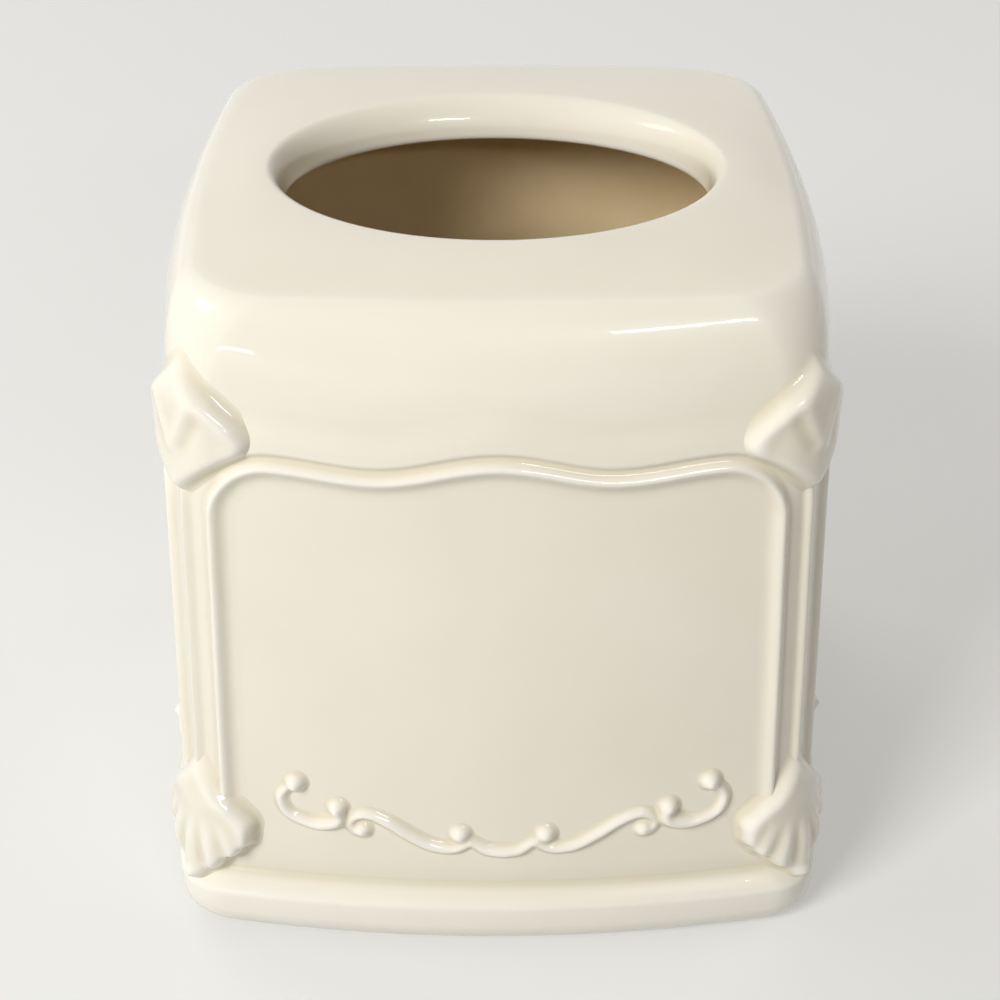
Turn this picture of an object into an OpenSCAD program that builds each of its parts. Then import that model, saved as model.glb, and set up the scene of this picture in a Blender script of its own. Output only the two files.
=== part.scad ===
// Cover for a cube tissue box: a glazed earthenware casting with sprigged relief on its four walls.
// Origin at the centre of the open foot, on the surface that the cover stands on. +Z is up, the front wall faces -Y.
// A place on a wall is given as t, the distance along the wall from its middle, and z, the height.

/* [Body] */
// Width over the foot rim, the same from side to side and front to back
base_width = 152; // [144:0.5:176]
// Height to the top of the ring round the mouth
height = 152.5; // [146:0.5:180]
// Thickness of the cast walls
wall_thick = 4.8; // [3.5:0.1:6]
// Distance that the middle of a wall bows out past its corners
wall_bow = 8.7; // [4:0.1:11]
// Plan radius of the upright corners
corner_r = 12.5; // [9:0.5:15]
// Distance that a wall leans in from the foot to the shoulder
wall_lean = 3.6; // [1:0.1:6]

/* [Foot] */
// Height of the upright face of the foot rim
rim_height = 10.5; // [8:0.5:12]
// Distance that the rim stands out past the wall above it
rim_proud = 3.1; // [1.5:0.1:4.5]
// Height of the hollow curve between the rim and the wall
cove_height = 6.5; // [4:0.5:8]
// Inward reach of the rounding under the rim
foot_round_in = 5; // [3:0.5:6]
// Height of the rounding under the rim
foot_round_up = 7; // [4:0.5:8]
// Width of the flat ring that the cover stands on
foot_ring = 3.5; // [2.5:0.1:4.5]

/* [Shoulder and top] */
// Height of the round shoulder
shoulder_height = 24; // [18:0.5:30]
// Inward reach of the round shoulder
shoulder_in = 9.8; // [6:0.2:14]
// Rise of the top from the shoulder to the ring round the mouth
crown_rise = 1.5; // [0.5:0.1:3]
// Bow of the sides where the shoulder ends
top_bow = 3.5; // [1.5:0.1:5]
// Plan radius of the corners where the shoulder ends
top_corner_r = 17.5; // [13:0.5:20]

/* [Mouth] */
// Length of the oval mouth from side to side
mouth_length = 90; // [76:0.5:96]
// Width of the oval mouth from front to back
mouth_width = 66; // [56:0.5:76]
// Depth of the turned-in lip below the top
lip_drop = 7.8; // [6:0.1:10]
// Reach of the lip's rounding at the two ends of the mouth
roll_ends = 3.5; // [2:0.1:5]
// Reach of the lip's rounding at the front and back of the mouth
roll_front = 6.2; // [4:0.1:8]
// Thickness of the lip's lower edge
lip_edge = 2.6; // [2:0.1:3.5]

/* [Panel frame] */
// Drop from the foot of the shoulder to the frame's bead, at the middle of a wall
frame_drop = 6.9; // [4:0.1:14]
// Drop from the middle crest to the two hollows beside it
wave_dip = 3.6; // [1:0.1:5]
// Rise from a hollow to the crest at the frame's corner
wave_rise = 1.7; // [0.5:0.1:3]
// Distance from the cover's corner line to the bead
bead_inset = 6.2; // [5:0.1:7.5]
// Radius of the bead line at the frame's two corners
frame_corner_r = 12; // [9:0.5:14]
// Width of the bead
bead_width = 3.2; // [2:0.1:4]
// Height of the bead above the wall
bead_height = 1.3; // [0.8:0.1:2]
// Distance from the bead to the step above it
step_out = 2.9; // [2.4:0.1:4]
// Height of the step and of the corner ridge above the wall
step_height = 0.9; // [0.6:0.05:1.4]
// Width over which the step fades into the wall above it
step_fade = 1.9; // [1:0.1:3]

/* [Corner shells] */
// Drop from the top of the cover to the point from which an upper shell fans out
upper_shell_drop = 13.5; // [11.5:0.5:16.5]
// Length of an upper shell along the corner line
upper_shell_length = 25.5; // [20:0.5:28]
// Height of the point from which a lower shell fans out
lower_shell_top = 46; // [42:0.5:50]
// Length of a lower shell along the corner line
lower_shell_length = 30.5; // [25:0.5:33]
// Length of a shell along its two outer edges
shell_side_length = 21.5; // [18:0.5:24]
// Angle from the corner line to an outer edge of the shell
shell_spread = 46; // [35:1:52]
// Number of flutes in a shell
shell_flutes = 9; // [5:2:13]
// Height of the shell's lower edge above the wall
shell_height = 3.3; // [2:0.1:4.5]
// Depth of the valleys between the flutes
flute_depth = 0.7; // [0.2:0.1:1.2]
// Distance that a flute's end stands out past the valleys beside it
scallop_out = 1.1; // [0.3:0.1:2]

/* [Garland] */
// Distance from the cover's corner line to the garland's outer beads
garland_margin = 17.1; // [16:0.1:25]
// Height of the garland from its lowest strand to its top beads
garland_height = 18; // [14:0.5:22]
// Height of the garland's lowest strand
garland_z = 25; // [22:0.5:28]
// Width of a strand at its middle
strand_width = 2.6; // [1.8:0.1:3.2]
// Height of a strand above the wall
strand_height = 1.5; // [1:0.1:2.2]
// Diameter of the garland's beads
garland_bead_d = 4.4; // [3.4:0.1:4.8]
// Height of the beads above the wall
garland_bead_height = 1.9; // [1.2:0.1:2.6]

/* [Fit] */
// Glaze gap between a relief piece and the wall that carries it
seat_gap = 0.15; // [0.1:0.05:0.3]
// Thickness of a relief piece at its outer edge
edge_thick = 0.3; // [0.2:0.05:0.6]

/* [Hidden] */

ivory = [0.93, 0.90, 0.80];
ivory_relief = [0.95, 0.93, 0.85];

// Heights and half widths of the body's outside, from the foot up
rim_half = base_width / 2;
cove_top = rim_height + cove_height;
wall_half_low = rim_half - rim_proud;
wall_half_high = wall_half_low - wall_lean;
shoulder_top = height - crown_rise;
shoulder_z = shoulder_top - shoulder_height;
top_half = wall_half_high - shoulder_in;
mouth_a = mouth_length / 2;
mouth_b = mouth_width / 2;
frame_top = shoulder_z - frame_drop;
upper_shell_top = height - upper_shell_drop;

// Points along one eighth of a body ring: on the bowed side, then round the corner
bow_steps = 5;
corner_steps = 4;
eighth = bow_steps + corner_steps;
ring_points = 8 * eighth;

function mix(a, b, f) = a + (b - a) * f;
function ease(f) = (1 - cos(180 * f)) / 2;

// A plan outline with bowed sides: [half width, bow, corner radius]
function bow_r(p) = (p[0] * p[0] + p[1] * p[1]) / (2 * p[1]);
function bow_centre(p) = p[0] - bow_r(p);
function corner_centre(p) =
  let (k = bow_centre(p), d = bow_r(p) - p[2])
  (2 * k + sqrt(4 * k * k - 8 * (k * k - d * d))) / 4;
function bow_angle(p) = let (c = corner_centre(p)) atan2(c, c - bow_centre(p));
function bow_length(p) = bow_r(p) * bow_angle(p) * PI / 180;
function half_length(p) = bow_length(p) + p[2] * (45 - bow_angle(p)) * PI / 180;

// Direction that the outline faces at the distance t from the side's middle, as an angle from the side's own
function facing(p, t) =
  t <= bow_length(p)
    ? t / bow_r(p) * 180 / PI
    : bow_angle(p) + (t - bow_length(p)) / p[2] * 180 / PI;
function outline_point(p, t) =
  let (u = facing(p, t))
  t <= bow_length(p)
    ? [bow_r(p) * sin(u), bow_centre(p) + bow_r(p) * cos(u)]
    : [corner_centre(p) + p[2] * sin(u), corner_centre(p) + p[2] * cos(u)];

// The wall's plan outline at a height between the cove and the top of the shoulder
function shoulder_share(z) = max(0, (z - shoulder_z) / shoulder_height);
function wall_plan(z) =
  let (s = shoulder_share(z))
  s > 0
    ? [
        top_half + shoulder_in * sqrt(1 - s * s),
        mix(wall_bow, top_bow, s * s),
        mix(corner_r, top_corner_r, s * s)
      ]
    : [
        mix(wall_half_low, wall_half_high, (z - cove_top) / (shoulder_z - cove_top)),
        wall_bow,
        corner_r
      ];
// Angle by which the wall's face is turned up from level at a height
function wall_tilt(z) =
  let (s = shoulder_share(z))
  s > 0
    ? atan(shoulder_in / shoulder_height * s / sqrt(1 - s * s))
    : atan(wall_lean / (shoulder_z - cove_top));
function wall_half_length(z) = half_length(wall_plan(z));
// Distance that the cove stands out past the line of the wall at a height
function flare(z) =
  z < cove_top
    ? rim_half - rim_proud * ease(max(0, (z - rim_height) / cove_height)) - wall_plan(z)[0]
    : 0;

// A point above the front wall: t along it, z up it and h out from its surface
function wall_point(t, z, h) =
  let (
    p = wall_plan(z),
    q = outline_point(p, abs(t)),
    u = facing(p, abs(t)),
    tilt = wall_tilt(z),
    out = h * cos(tilt),
    side = t < 0 ? -1 : 1
  )
  [side * (q[0] + out * sin(u)), -q[1] - out * cos(u), z + h * sin(tilt)];

// The same about the front right corner: s from its corner line, to the front wall where s is over 0
function corner_point(s, z, h) =
  let (q = wall_point(wall_half_length(z) - abs(s), z, h))
  s >= 0 ? q : [-q[1], -q[0], q[2]];

// Triangles that join equal rows of points into a skin, closed both ways if asked
function skin(rows, columns, close_rows, close_columns) = [
  for (i = [0 : rows - (close_rows ? 1 : 2)])
    for (j = [0 : columns - (close_columns ? 1 : 2)])
      let (
        k = (i + 1) % rows,
        l = (j + 1) % columns,
        a = i * columns + j,
        b = i * columns + l,
        c = k * columns + l,
        d = k * columns + j
      )
      each [[a, d, c], [a, c, b]]
];
// Triangles of a flat cap over a run of points that starts at the given index
function cap(first, count, turned) = [
  for (j = [1 : count - 2])
    turned ? [first, first + j, first + j + 1] : [first, first + j + 1, first + j]
];
function flat(rows) = [for (row = rows) each row];

// A closed bar through equal rings of points, with flat ends
module bar(rings) {
  count = len(rings[0]);
  polyhedron(
    points = flat(rings),
    faces = concat(
      skin(len(rings), count, false, true),
      cap(0, count, true),
      cap((len(rings) - 1) * count, count, false)
    )
  );
}

// A closed slab through rows of points: each row has a front run and, under it, a back run of as many points
module slab(rows) {
  half = len(rows[0][0]);
  count = 2 * half;
  last = (len(rows) - 1) * count;
  rings = [for (row = rows) concat(row[0], [for (j = [half - 1 : -1 : 0]) row[1][j]])];
  ends = [
    for (j = [0 : half - 2])
      let (a = j, b = j + 1, c = count - 2 - j, d = count - 1 - j)
      each [[a, b, c], [a, c, d], [last + a, last + c, last + b], [last + a, last + d, last + c]]
  ];
  polyhedron(points = flat(rings), faces = concat(skin(len(rings), count, false, true), ends));
}

// Body

function side_share(i) = (i % (2 * eighth)) <= eighth ? i % (2 * eighth) : 2 * eighth - i % (2 * eighth);
function side_t(p, j) =
  j <= bow_steps
    ? bow_length(p) * j / bow_steps
    : mix(bow_length(p), half_length(p), (j - bow_steps) / corner_steps);
// One point of a plan outline, counted anticlockwise from the middle of the front side
function plan_point(p, i) =
  let (
    quarter = floor(i / (2 * eighth)),
    q = outline_point(p, side_t(p, side_share(i))),
    past_corner = i % (2 * eighth) > eighth,
    x = past_corner ? q[1] : q[0],
    y = past_corner ? -q[0] : -q[1]
  )
  [x * cos(90 * quarter) - y * sin(90 * quarter), x * sin(90 * quarter) + y * cos(90 * quarter)];

function body_ring(p, z) = [for (i = [0 : ring_points - 1]) let (q = plan_point(p, i)) [q[0], q[1], z]];
function oval_point(a, b, i) =
  let (q = plan_point([top_half, top_bow, top_corner_r], i), u = atan2(q[1] / b, q[0] / a))
  [a * cos(u), b * sin(u)];
function oval_ring(a, b, z) = [for (i = [0 : ring_points - 1]) let (q = oval_point(a, b, i)) [q[0], q[1], z]];
function mixed_ring(low, high, f, z) = [
  for (i = [0 : ring_points - 1]) [mix(low[i][0], high[i][0], f), mix(low[i][1], high[i][1], f), z]
];

foot_arc_steps = 3;
cove_steps = 3;
wall_steps = 3;
shoulder_steps = 8;
top_steps = 3;
roll_steps = 4;

function foot_plan(inset) = [rim_half - inset, wall_bow, corner_r];
foot_rings = [
  for (i = [0 : foot_arc_steps])
    let (u = 90 * i / foot_arc_steps)
    body_ring(foot_plan(foot_round_in * (1 - sin(u))), foot_round_up * (1 - cos(u)))
];
cove_rings = [
  for (i = [0 : cove_steps])
    let (f = i / cove_steps)
    body_ring(foot_plan(rim_proud * ease(f)), rim_height + cove_height * f)
];
wall_rings = [
  for (i = [1 : wall_steps])
    let (z = mix(cove_top, shoulder_z, i / wall_steps))
    body_ring(wall_plan(z), z)
];
shoulder_rings = [
  for (i = [1 : shoulder_steps])
    let (z = shoulder_z + shoulder_height * sin(90 * i / shoulder_steps))
    body_ring(wall_plan(z), z)
];
roll_start = oval_ring(mouth_a + roll_ends, mouth_b + roll_front, height);
top_rings = [
  for (i = [1 : top_steps])
    let (f = i / (top_steps + 1))
    mixed_ring(shoulder_rings[shoulder_steps - 1], roll_start, f, shoulder_top + crown_rise * ease(f))
];
roll_rings = [
  for (i = [0 : roll_steps])
    let (u = 90 * i / roll_steps)
    oval_ring(mouth_a + roll_ends * (1 - sin(u)), mouth_b + roll_front * (1 - sin(u)), height - lip_drop * (1 - cos(u)))
];

// The inside follows the outside at the thickness of the wall
function inner_plan(p) = [p[0] - wall_thick, p[1], max(p[2] - wall_thick, wall_thick)];
ceiling_z = shoulder_top - wall_thick;
ceiling_ring = body_ring(inner_plan(wall_plan(shoulder_top)), ceiling_z);
lip_root = oval_ring(mouth_a + roll_ends + wall_thick, mouth_b + roll_front + wall_thick, ceiling_z + crown_rise / 2);
lip_rings = [
  oval_ring(mouth_a + lip_edge / 2, mouth_b + lip_edge / 2, height - lip_drop - lip_edge / 2),
  oval_ring(mouth_a + lip_edge, mouth_b + lip_edge, height - lip_drop - lip_edge / 4),
  oval_ring(mouth_a + lip_edge + roll_ends / 2, mouth_b + lip_edge + roll_front / 2, ceiling_z - lip_edge / 4),
  lip_root,
  mixed_ring(lip_root, ceiling_ring, 1 / 2, ceiling_z + crown_rise / 4)
];
inner_shoulder_steps = 4;
inner_rings = [
  for (i = [inner_shoulder_steps : -1 : 0])
    let (
      u = 90 * i / inner_shoulder_steps,
      z = shoulder_z + (shoulder_height - wall_thick) * sin(u),
      p = wall_plan(shoulder_z + shoulder_height * sin(u))
    )
    body_ring(inner_plan(p), z)
];
foot_inner = [rim_half - foot_round_in - foot_ring, wall_bow, corner_r - wall_thick];
cavity_rings = [body_ring(inner_plan(wall_plan(cove_top)), cove_top), body_ring(foot_inner, 0)];

module cover_shell() {
  rings = concat(
    foot_rings, cove_rings, wall_rings, shoulder_rings, top_rings, roll_rings, lip_rings, inner_rings, cavity_rings
  );
  color(ivory)
    polyhedron(points = flat(rings), faces = skin(len(rings), ring_points, true, true));
}

// Panel frames

bead_end_t = wall_half_length(frame_top - wave_dip) - bead_inset - frame_corner_r;
hollow_t_share = 0.54;
hollow_t = bead_end_t * hollow_t_share;
function wave_z(t) =
  t < hollow_t
    ? frame_top - wave_dip * ease(t / hollow_t)
    : frame_top - wave_dip + wave_rise * ease((t - hollow_t) / (bead_end_t - hollow_t));
frame_bend_z = wave_z(bead_end_t) - frame_corner_r;

// Clear space kept between relief pieces that lie side by side
piece_gap = seat_gap;
// The bead's section: [share of its half width, share of its height]
bead_profile_shares = [[-1, 0], [-0.75, 0.55], [-0.3, 0.95], [0.3, 0.95], [0.75, 0.55], [1, 0.3]];
edge_height = seat_gap + edge_thick;
// The frame's section, as [distance out from the bead, height above the wall]
function frame_section(step, fade, end_height) = concat(
  [for (q = bead_profile_shares) [q[0] * bead_width / 2, max(q[1] * bead_height, edge_height)]],
  [[step - step_height, edge_height], [step, step_height], [step + fade, end_height]]
);
// One row of the frame: a place on the bead line, the way out from it, the section there and how far its foot is cut
function frame_row(t, z, out, section, cut) = [
  for (layer = [0, 1])
    [
      for (q = section)
        let (
          zq = z + q[0] * out[1] - cut * (bead_inset - q[0]),
          tq = out[0] == 1 ? wall_half_length(zq) - bead_inset + q[0] : t + q[0] * out[0]
        )
        wall_point(tq, zq, layer == 0 ? q[1] : seat_gap)
    ]
];

frame_wave_steps = 9;
frame_bend_steps = 5;
frame_side_steps = 4;
// Share of the bend over which the step keeps its distance, beside an upper shell
bend_step_share = 0.5;
// The corner ridge is made of two halves, one on each wall's frame
ridge_half = step_height / 2;
ridge_step = bead_inset - piece_gap - ridge_half;
// The frame's foot is cut along the edge of the lower shell
frame_foot_z = lower_shell_top + piece_gap + edge_height;
side_section = frame_section(ridge_step, ridge_half, step_height);
function bend_section(f) =
  let (g = max(0, (f - bend_step_share) / (1 - bend_step_share)))
  frame_section(
    mix(step_out, ridge_step, g),
    mix(step_fade / 2, ridge_half, g),
    mix(edge_height, step_height, g)
  );
function wave_slope(t) =
  let (near = bead_end_t / frame_wave_steps / 2)
  (wave_z(t + near) - wave_z(t - near)) / (2 * near);
half_frame = concat(
  [
    for (i = [0 : frame_wave_steps])
      let (
        f = i / frame_wave_steps,
        t = bead_end_t * f,
        tilt = i == 0 || i == frame_wave_steps ? 0 : atan(wave_slope(t)),
        section = frame_section(step_out, mix(step_fade, step_fade / 2, f), edge_height)
      )
      frame_row(t, wave_z(t), [-sin(tilt), cos(tilt)], section, 0)
  ],
  [
    for (i = [1 : frame_bend_steps])
      let (f = i / frame_bend_steps, u = 90 * f)
      frame_row(
        bead_end_t + frame_corner_r * sin(u),
        frame_bend_z + frame_corner_r * cos(u),
        [sin(u), cos(u)],
        bend_section(f),
        0
      )
  ],
  [
    for (i = [1 : frame_side_steps])
      let (f = i / frame_side_steps)
      frame_row(0, mix(frame_bend_z, frame_foot_z, f), [1, 0], side_section, f / tan(shell_spread))
  ]
);
function mirrored(row) = [for (run = row) [for (q = run) [-q[0], q[1], q[2]]]];

module panel_frame() {
  right_half = [for (i = [len(half_frame) - 1 : -1 : 1]) half_frame[i]];
  left_half = [for (row = half_frame) mirrored(row)];
  color(ivory_relief) slab(concat(right_half, left_half));
}

// Corner shells

fan_steps = 2 * shell_flutes;
// Shares of the shell's length at which its height is set, and the share of the full height there
shell_profile_shares = [
  [0.05, 0.3], [0.2, 0.5], [0.35, 0.62], [0.5, 0.74], [0.65, 0.86], [0.8, 0.97], [0.92, 1], [1, 0.72]
];
// Share of the height that is left at the two outer edges of the fan
fan_edge_share = 0.55;
// One row of the fan, across it at a share of its length: the front run, then the back run on the wall
function shell_row(q, top, length) = [
  for (layer = [0, 1])
    [
      for (i = [0 : fan_steps])
        let (
          f = i / fan_steps * 2 - 1,
          u = f * shell_spread,
          valley = 1 - i % 2,
          reach = mix(length, shell_side_length, 1 - pow(1 - abs(f), 3 / 2)) - scallop_out * valley,
          r = q[0] * reach,
          crest = shell_height * q[1] * mix(1, fan_edge_share, f * f),
          z = top - r * cos(u),
          h = max(crest - flute_depth * valley * q[0], edge_height + flare(z))
        )
        corner_point(r * sin(u), z, layer == 0 ? h : seat_gap + flare(z))
    ]
];

module corner_shell(top, length) {
  color(ivory_relief) slab([for (q = shell_profile_shares) shell_row(q, top, length)]);
}

// Garlands

// Points of the strands' centre lines: [share of the garland's half width, share of its height]
end_scroll_shares = [[0.953, 0.86], [0.998, 0.68], [0.955, 0.45], [0.84, 0.33], [0.74, 0.41]];
wave_scroll_shares = [
  [0.672, 0.42], [0.6, 0.53], [0.52, 0.44], [0.427, 0.25], [0.32, 0.085], [0.22, 0.045], [0.152, 0.13]
];
crescent_shares = [[-0.112, 0.125], [-0.055, 0.03], [0, 0], [0.055, 0.03], [0.112, 0.125]];
garland_bead_shares = [[0.91, 0.965], [0.733, 0.65], [0.627, 0.325], [0.185, 0.315]];
// Share of a strand's width that is left at its ends
strand_end_share = 0.45;
// The strand's section: [share of its half width, share of its height]
strand_section_shares = [[-1, 0], [-0.72, 0.72], [0, 1], [0.72, 0.72], [1, 0]];

garland_half = wall_half_length(garland_z) - garland_margin;
function garland_place(q) = [q[0] * garland_half, garland_z + q[1] * garland_height];
// A smooth curve through four points, between the middle two
function curve(a, b, c, d, f) =
  (b * 2 + (c - a) * f + (a * 2 - b * 5 + c * 4 - d) * f * f + (b * 3 - a - c * 3 + d) * f * f * f) / 2;
function route(list, steps) =
  let (
    last = len(list) - 1,
    ends = concat([list[0] * 2 - list[1]], list, [list[last] * 2 - list[last - 1]])
  )
  [
    for (i = [0 : last - 1])
      for (j = [0 : steps - (i == last - 1 ? 0 : 1)])
        curve(ends[i], ends[i + 1], ends[i + 2], ends[i + 3], j / steps)
  ];

module strand(shares, steps) {
  line = route([for (q = shares) garland_place(q)], steps);
  last = len(line) - 1;
  bar([
    for (i = [last : -1 : 0])
      let (
        way = line[min(i + 1, last)] - line[max(i - 1, 0)],
        across = [-way[1], way[0]] / norm(way),
        fullness = mix(strand_end_share, 1, sin(180 * i / last)),
        section = concat(
          [for (q = strand_section_shares) [q[0], max(q[1] * strand_height * fullness, edge_height)]],
          [[1, seat_gap], [-1, seat_gap]]
        )
      )
      [
        for (q = section)
          let (place = line[i] + across * q[0] * fullness * strand_width / 2)
          wall_point(place[0], place[1], q[1])
      ]
  ]);
}

bead_sides = 10;
// The bead's rounding: [share of its radius, share of its height]
bead_round_shares = [[1, 0], [0.86, 0.5], [0.5, 0.87], [0.12, 1]];
module garland_bead(share) {
  place = garland_place(share);
  function bead_ring(r, h) = [
    for (j = [0 : bead_sides - 1])
      let (u = 360 * j / bead_sides)
      wall_point(place[0] + r * cos(u), place[1] + r * sin(u), h)
  ];
  bar(concat(
    [bead_ring(garland_bead_d / 2, seat_gap)],
    [
      for (q = bead_round_shares)
        bead_ring(q[0] * garland_bead_d / 2, max(q[1] * garland_bead_height, edge_height))
    ]
  ));
}

end_scroll_steps = 4;
wave_scroll_steps = 3;
crescent_steps = 2;
module half_garland() {
  strand(end_scroll_shares, end_scroll_steps);
  strand(wave_scroll_shares, wave_scroll_steps);
  for (share = garland_bead_shares) garland_bead(share);
}
module scroll_garland() {
  color(ivory_relief) {
    half_garland();
    mirror([1, 0, 0]) half_garland();
    strand(crescent_shares, crescent_steps);
  }
}

cover_shell();
panel_frame();  // panel_frame_front
rotate([0, 0, 90]) panel_frame();  // panel_frame_right
rotate([0, 0, 180]) panel_frame();  // panel_frame_back
rotate([0, 0, 270]) panel_frame();  // panel_frame_left
corner_shell(upper_shell_top, upper_shell_length);  // corner_shell_upper_front_right
rotate([0, 0, 90]) corner_shell(upper_shell_top, upper_shell_length);  // corner_shell_upper_back_right
rotate([0, 0, 180]) corner_shell(upper_shell_top, upper_shell_length);  // corner_shell_upper_back_left
rotate([0, 0, 270]) corner_shell(upper_shell_top, upper_shell_length);  // corner_shell_upper_front_left
corner_shell(lower_shell_top, lower_shell_length);  // corner_shell_lower_front_right
rotate([0, 0, 90]) corner_shell(lower_shell_top, lower_shell_length);  // corner_shell_lower_back_right
rotate([0, 0, 180]) corner_shell(lower_shell_top, lower_shell_length);  // corner_shell_lower_back_left
rotate([0, 0, 270]) corner_shell(lower_shell_top, lower_shell_length);  // corner_shell_lower_front_left
scroll_garland();  // scroll_garland_front
rotate([0, 0, 90]) scroll_garland();  // scroll_garland_right
rotate([0, 0, 180]) scroll_garland();  // scroll_garland_back
rotate([0, 0, 270]) scroll_garland();  // scroll_garland_left
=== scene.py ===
"""Looks of the tissue box cover: a glazed earthenware casting with sprigged relief on its four walls.

Sizes are in mm and angles in degrees until a mesh is made. A place on a wall is given as t, the distance
along the wall from its middle, and z, the height. A place at a corner is given as s, the distance from the
corner line, and z. A relief height h is measured from the line of the wall.
"""
import math

import bmesh
import bpy
import numpy as np
from mathutils import Matrix, Vector


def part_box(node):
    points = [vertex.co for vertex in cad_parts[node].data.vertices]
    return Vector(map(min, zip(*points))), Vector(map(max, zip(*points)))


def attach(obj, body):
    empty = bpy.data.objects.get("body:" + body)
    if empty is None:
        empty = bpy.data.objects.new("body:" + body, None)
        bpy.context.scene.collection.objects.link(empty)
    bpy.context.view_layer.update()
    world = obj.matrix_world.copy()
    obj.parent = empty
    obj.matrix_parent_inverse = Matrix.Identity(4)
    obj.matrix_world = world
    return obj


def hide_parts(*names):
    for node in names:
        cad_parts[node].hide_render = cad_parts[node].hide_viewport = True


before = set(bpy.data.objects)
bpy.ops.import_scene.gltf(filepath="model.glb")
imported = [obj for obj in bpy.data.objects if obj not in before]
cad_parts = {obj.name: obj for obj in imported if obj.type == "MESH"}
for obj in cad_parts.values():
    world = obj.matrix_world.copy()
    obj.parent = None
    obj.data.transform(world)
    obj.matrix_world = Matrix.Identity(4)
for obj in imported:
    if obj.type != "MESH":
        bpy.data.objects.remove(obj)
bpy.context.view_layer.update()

MM = 0.001
QUARTER = math.pi / 2

# Body, as the CAD solid has it
shell_low, shell_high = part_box("cover_shell")
RIM_HALF = (shell_high.x - shell_low.x) / 2 / MM
HEIGHT = shell_high.z / MM
WALL_THICK = 4.8
WALL_BOW = 8.7
CORNER_R = 12.5
WALL_LEAN = 3.6
RIM_HEIGHT = 10.5
RIM_PROUD = 3.1
COVE_HEIGHT = 6.5
FOOT_ROUND_IN = 5
FOOT_ROUND_UP = 7
FOOT_RING = 3.5
SHOULDER_HEIGHT = 24
SHOULDER_IN = 9.8
CROWN_RISE = 1.5
# Share of the shoulder's quarter turn that is made before the crown takes over at the same slope
SHOULDER_TURN = 0.965
TOP_BOW = 3.5
TOP_CORNER_R = 17.5
MOUTH_A = 45
MOUTH_B = 33
LIP_DROP = 7.8
ROLL_ENDS = 3.5
ROLL_FRONT = 6.2
LIP_EDGE = 2.6

COVE_TOP = RIM_HEIGHT + COVE_HEIGHT
WALL_HALF_LOW = RIM_HALF - RIM_PROUD
WALL_HALF_HIGH = WALL_HALF_LOW - WALL_LEAN
SHOULDER_TOP = HEIGHT - CROWN_RISE
SHOULDER_Z = SHOULDER_TOP - SHOULDER_HEIGHT
TOP_HALF = WALL_HALF_HIGH - SHOULDER_IN

# Panel frame
FRAME_DROP = 6.9
FRAME_TOP = SHOULDER_Z - FRAME_DROP
WAVE_DIP = 3.6
WAVE_RISE = 1.7
HOLLOW_SHARE = 0.54
BEAD_INSET = 6.2
FRAME_CORNER_R = 12
BEAD_WIDTH = 3.1
BEAD_HEIGHT = 1.5
# How far the bead spreads to its steep side and to its soft side, as shares of its width
BEAD_STEEP = 0.31
BEAD_SOFT = 0.5
# The soft slope between the bead and the panel
BEAD_SLOPE_HEIGHT = 0.22
BEAD_SLOPE_IN = 1.6
BEAD_SLOPE_WIDTH = 1.5
# The band beside the bead, and how soon it starts
BAND_HEIGHT = 0.25
BAND_START = 1.2
# The step past the band: its distance from the bead's line, the reach of its rise on both sides of that, and
# the distance past it from which it starts to fade
STEP_OUT = 2.9
STEP_HEIGHT = 0.9
STEP_BEFORE = 0.55
STEP_AFTER = 0.45
STEP_FLAT = 0.7
STEP_FADE_END = 14
# Reach of the frame to the panel's side, and width over which its edges land on the wall and dip under it
FRAME_IN = 6
LANDING = 1.2
# Groove between the bead and the corner line, ridge along that line, and how soon past the bead both start
GROOVE_HEIGHT = 0.02
RIDGE_HEIGHT = 1.25
RIDGE_WIDTH = 1.05
RIDGE_CLEARANCE = 1
# Height at which the slanted lower end of a side bar meets the corner line, hidden by the lower shell
BAR_FOOT_Z = 41

# Upper corner shell, with places as (distance from the corner line, height)
UPPER_PATCH = (107, 145)
UPPER_TOP = 142
UPPER_TIP_Z = 122.6
UPPER_OUTLINE = [
    (0, 141.2), (2.4, 138.7), (5.4, 135.7), (9.8, 131.9), (13.2, 128.2), (15.1, 124.6),
    (14.8, 121.8), (12.9, 120), (10.2, 118.7), (7, 116.6), (3.4, 113.4), (0, 109.8)
]
UPPER_CREST = [
    (0.4, 137), (2.7, 134.6), (4.9, 132.2), (7.7, 129.6), (10.2, 127.3), (12.3, 125), (12.8, 122.4)
]
UPPER_RIB = [(4.6, 132), (3.6, 129.4), (2.4, 126.4), (1.3, 123.6), (0.4, 121)]
UPPER_HOLLOW = [(5.4, 129), (4.6, 126.8), (3.3, 124), (2.1, 121.4)]
UPPER_TOP_HEIGHT = 0.3
UPPER_RISE = 12
UPPER_HEIGHT = 2.9
UPPER_TIP_HEIGHT = 1.8
UPPER_TIP_SPAN = (10, 16)
UPPER_CREST_HEIGHT = 0.55
UPPER_RIB_HEIGHT = 0.75
UPPER_RIB_WIDTH = 1.05
UPPER_HOLLOW_DEPTH = 0.5
UPPER_HOLLOW_WIDTH = 1.3

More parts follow.
